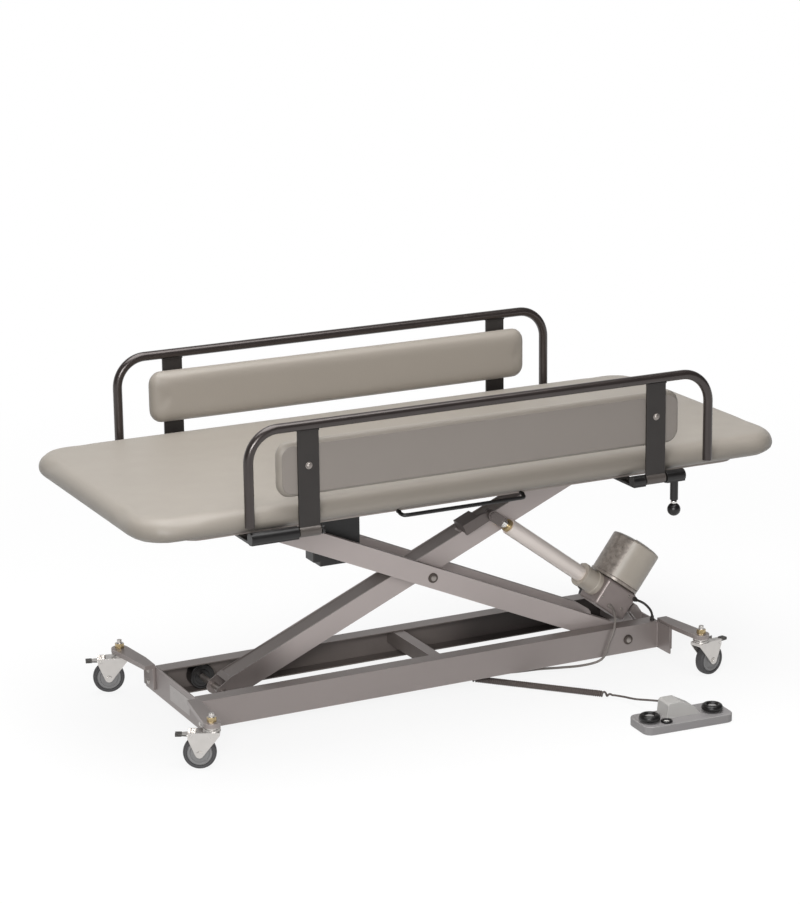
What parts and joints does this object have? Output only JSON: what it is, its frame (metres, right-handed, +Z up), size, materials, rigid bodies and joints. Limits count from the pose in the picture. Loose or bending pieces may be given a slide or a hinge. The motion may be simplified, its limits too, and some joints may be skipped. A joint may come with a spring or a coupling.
{
  "type": "mobile changing table",
  "caption": "Padded changing table on an electric scissor lift, with fold-down padded side rails, braked casters and a corded foot switch.",
  "frame": {"origin": "on the floor, under the middle of the box round the table and its foot switch", "axes": "+X along the table's length towards the motor, +Y away from the foot switch, +Z up"},
  "size_m": [1.6268, 0.9834, 0.793],
  "materials": {
    "silver_paint": "satin silver-grey paint",
    "dark_paint": "fine textured dark bronze paint",
    "black_metal": "satin black paint",
    "vinyl": "smooth taupe upholstery over foam",
    "zinc": "bright zinc plate",
    "chrome": "polished",
    "grey_tyre": "dark grey rubber with a lighter hub",
    "black_plastic": "black moulded plastic",
    "motor_plastic": "warm grey moulded plastic",
    "gearbox_metal": "warm grey painted casting",
    "switch_grey": "grey painted casting",
    "board": "grey laminated board",
    "black_cord": "black cord jacket",
    "grey_cord": "grey cord jacket"
  },
  "bodies": {
    "base": {"base_rail_front": "silver_paint", "base_rail_rear": "silver_paint", "end_plate_left": "silver_paint", "end_plate_right": "silver_paint", "base_cross_bar": "silver_paint", "caster_arm_front_left": "silver_paint", "caster_arm_rear_left": "silver_paint", "caster_arm_front_right": "silver_paint", "caster_arm_rear_right": "silver_paint", "lower_pivot_shaft": "zinc", "motor_cable": "grey_cord", "motor_lead": "black_cord", "curly_cord": "black_cord", "foot_switch_base": "switch_grey", "foot_switch_ring": "black_plastic"},
    "foot_button_left": {"foot_button_left": "black_plastic"},
    "foot_button_right": {"foot_button_right": "black_plastic"},
    "caster_front_left": {"caster_fork_front_left": "zinc"},
    "wheel_front_left": {"caster_wheel_front_left": "grey_tyre"},
    "brake_front_left": {"brake_pedal_front_left": "zinc"},
    "caster_rear_left": {"caster_fork_rear_left": "zinc"},
    "wheel_rear_left": {"caster_wheel_rear_left": "grey_tyre"},
    "brake_rear_left": {"brake_pedal_rear_left": "zinc"},
    "caster_front_right": {"caster_fork_front_right": "zinc"},
    "wheel_front_right": {"caster_wheel_front_right": "grey_tyre"},
    "brake_front_right": {"brake_pedal_front_right": "zinc"},
    "caster_rear_right": {"caster_fork_rear_right": "zinc"},
    "wheel_rear_right": {"caster_wheel_rear_right": "grey_tyre"},
    "brake_rear_right": {"brake_pedal_rear_right": "zinc"},
    "outer_arms": {"outer_arm_front": "silver_paint", "outer_arm_rear": "silver_paint", "upper_roller_shaft": "zinc", "centre_pivot_shaft": "zinc"},
    "inner_arm": {"inner_arm": "silver_paint", "lower_roller_shaft": "zinc"},
    "actuator": {"actuator_tube": "silver_paint", "actuator_gearbox": "gearbox_metal", "actuator_motor": "motor_plastic"},
    "actuator_rod": {"actuator_rod": "chrome"},
    "deck": {"deck_board": "board", "deck_channel_front": "silver_paint", "deck_channel_rear": "silver_paint", "upper_pivot_shaft": "zinc", "mattress_pad": "vinyl", "control_box": "black_plastic", "rod_handle": "black_metal", "hinge_left_front": "black_metal", "hinge_left_rear": "black_metal", "hinge_right_front": "black_metal", "hinge_right_rear": "black_metal"},
    "upper_roller_front": {"upper_roller_front": "black_plastic"},
    "lower_roller_front": {"lower_roller_front": "black_plastic"},
    "rail_front": {"rail_frame_front": "dark_paint", "bolster_front": "vinyl"},
    "lock_plunger_front": {"lock_plunger_front": "black_plastic"},
    "upper_roller_rear": {"upper_roller_rear": "black_plastic"},
    "lower_roller_rear": {"lower_roller_rear": "black_plastic"},
    "rail_rear": {"rail_frame_rear": "dark_paint", "bolster_rear": "vinyl"},
    "lock_plunger_rear": {"lock_plunger_rear": "black_plastic"}
  },
  "joints": [
    {"name": "foot_button_left_press", "type": "slide", "parent": "base", "child": "foot_button_left", "axis": [0, 0, -1], "range_m": [0, 0.004], "stiffness_N_per_m": 1200, "springref_m": -0.002},
    {"name": "foot_button_right_press", "type": "slide", "parent": "base", "child": "foot_button_right", "axis": [0, 0, -1], "range_m": [0, 0.004], "stiffness_N_per_m": 1200, "springref_m": -0.002},
    {"name": "swivel_front_left", "type": "hinge", "parent": "base", "child": "caster_front_left", "pos_m": [-0.634, -0.1908, 0], "axis": [0, 0, 1], "continuous": true},
    {"name": "roll_front_left", "type": "hinge", "parent": "caster_front_left", "child": "wheel_front_left", "pos_m": [-0.65916, -0.1785, 0.0375], "axis": [-0.4392, -0.8984, 0], "continuous": true},
    {"name": "brake_front_left_press", "type": "hinge", "parent": "caster_front_left", "child": "brake_front_left", "pos_m": [-0.67533, -0.17059, 0.0795], "axis": [-0.4392, -0.8984, 0], "range_deg": [0, 12]},
    {"name": "swivel_rear_left", "type": "hinge", "parent": "base", "child": "caster_rear_left", "pos_m": [-0.634, 0.3752, 0], "axis": [0, 0, 1], "continuous": true},
    {"name": "roll_rear_left", "type": "hinge", "parent": "caster_rear_left", "child": "wheel_rear_left", "pos_m": [-0.6607, 0.38364, 0.0375], "axis": [-0.3011, -0.9536, 0], "continuous": true},
    {"name": "brake_rear_left_press", "type": "hinge", "parent": "caster_rear_left", "child": "brake_rear_left", "pos_m": [-0.67787, 0.38906, 0.0795], "axis": [-0.3011, -0.9536, 0], "range_deg": [0, 12]},
    {"name": "swivel_front_right", "type": "hinge", "parent": "base", "child": "caster_front_right", "pos_m": [0.634, -0.1908, 0], "axis": [0, 0, 1], "continuous": true},
    {"name": "roll_front_right", "type": "hinge", "parent": "caster_front_right", "child": "wheel_front_right", "pos_m": [0.66118, -0.18407, 0.0375], "axis": [-0.2402, 0.9707, 0], "continuous": true},
    {"name": "brake_front_right_press", "type": "hinge", "parent": "caster_front_right", "child": "brake_front_right", "pos_m": [0.67865, -0.17975, 0.0795], "axis": [-0.2402, 0.9707, 0], "range_deg": [0, 12]},
    {"name": "swivel_rear_right", "type": "hinge", "parent": "base", "child": "caster_rear_right", "pos_m": [0.634, 0.3752, 0], "axis": [0, 0, 1], "continuous": true},
    {"name": "roll_rear_right", "type": "hinge", "parent": "caster_rear_right", "child": "wheel_rear_right", "pos_m": [0.66143, 0.3808, 0.0375], "axis": [-0.2, 0.9798, 0], "continuous": true},
    {"name": "brake_rear_right_press", "type": "hinge", "parent": "caster_rear_right", "child": "brake_rear_right", "pos_m": [0.67907, 0.3844, 0.0795], "axis": [-0.2, 0.9798, 0], "range_deg": [0, 12]},
    {"name": "lift", "type": "hinge", "parent": "base", "child": "outer_arms", "pos_m": [0.517, 0.0922, 0.0685], "axis": [0, 1, 0], "range_deg": [-2, 19.4]},
    {"name": "scissor_cross", "type": "hinge", "parent": "outer_arms", "child": "inner_arm", "pos_m": [0.00998, 0.0922, 0.29001], "axis": [0, 1, 0], "range_deg": [-38.9, 4.1]},
    {"name": "deck_level", "type": "hinge", "parent": "inner_arm", "child": "deck", "pos_m": [0.517, 0.0922, 0.51153], "axis": [0, 1, 0], "range_deg": [-2.1, 19.5]},
    {"name": "actuator_tilt", "type": "hinge", "parent": "base", "child": "actuator", "pos_m": [0.58, 0.0922, 0.113], "axis": [0, 1, 0], "range_deg": [-2.1, 19.7]},
    {"name": "actuator_extend", "type": "slide", "parent": "actuator", "child": "actuator_rod", "axis": [-0.7985, 0, 0.602], "range_m": [-0.0125, 0.1175]},
    {"name": "upper_roller_front_turn", "type": "hinge", "parent": "outer_arms", "child": "upper_roller_front", "pos_m": [-0.49705, 0.0922, 0.51153], "axis": [0, 1, 0], "continuous": true},
    {"name": "lower_roller_front_turn", "type": "hinge", "parent": "inner_arm", "child": "lower_roller_front", "pos_m": [-0.49705, 0.0922, 0.0685], "axis": [0, 1, 0], "continuous": true},
    {"name": "rail_front_fold", "type": "hinge", "parent": "deck", "child": "rail_front", "pos_m": [0, -0.2928, 0.54503], "axis": [1, 0, 0], "range_deg": [0, 172]},
    {"name": "lock_plunger_front_pull", "type": "slide", "parent": "deck", "child": "lock_plunger_front", "axis": [0, 0, -1], "range_m": [0, 0.012], "stiffness_N_per_m": 500, "springref_m": -0.005},
    {"name": "upper_roller_rear_turn", "type": "hinge", "parent": "outer_arms", "child": "upper_roller_rear", "pos_m": [-0.49705, 0.0922, 0.51153], "axis": [0, 1, 0], "continuous": true},
    {"name": "lower_roller_rear_turn", "type": "hinge", "parent": "inner_arm", "child": "lower_roller_rear", "pos_m": [-0.49705, 0.0922, 0.0685], "axis": [0, 1, 0], "continuous": true},
    {"name": "rail_rear_fold", "type": "hinge", "parent": "deck", "child": "rail_rear", "pos_m": [0, 0.4772, 0.54503], "axis": [-1, 0, 0], "range_deg": [0, 172]},
    {"name": "lock_plunger_rear_pull", "type": "slide", "parent": "deck", "child": "lock_plunger_rear", "axis": [0, 0, -1], "range_m": [0, 0.012], "stiffness_N_per_m": 500, "springref_m": -0.005}
  ],
  "couplings": [
    {"joint": "scissor_cross", "follows": "lift", "ratio": -2},
    {"joint": "deck_level", "follows": "lift", "ratio": 1},
    {"joint": "actuator_tilt", "follows": "lift", "ratio": 1.01},
    {"joint": "actuator_extend", "follows": "lift", "m_per_rad": 0.345}
  ]
}
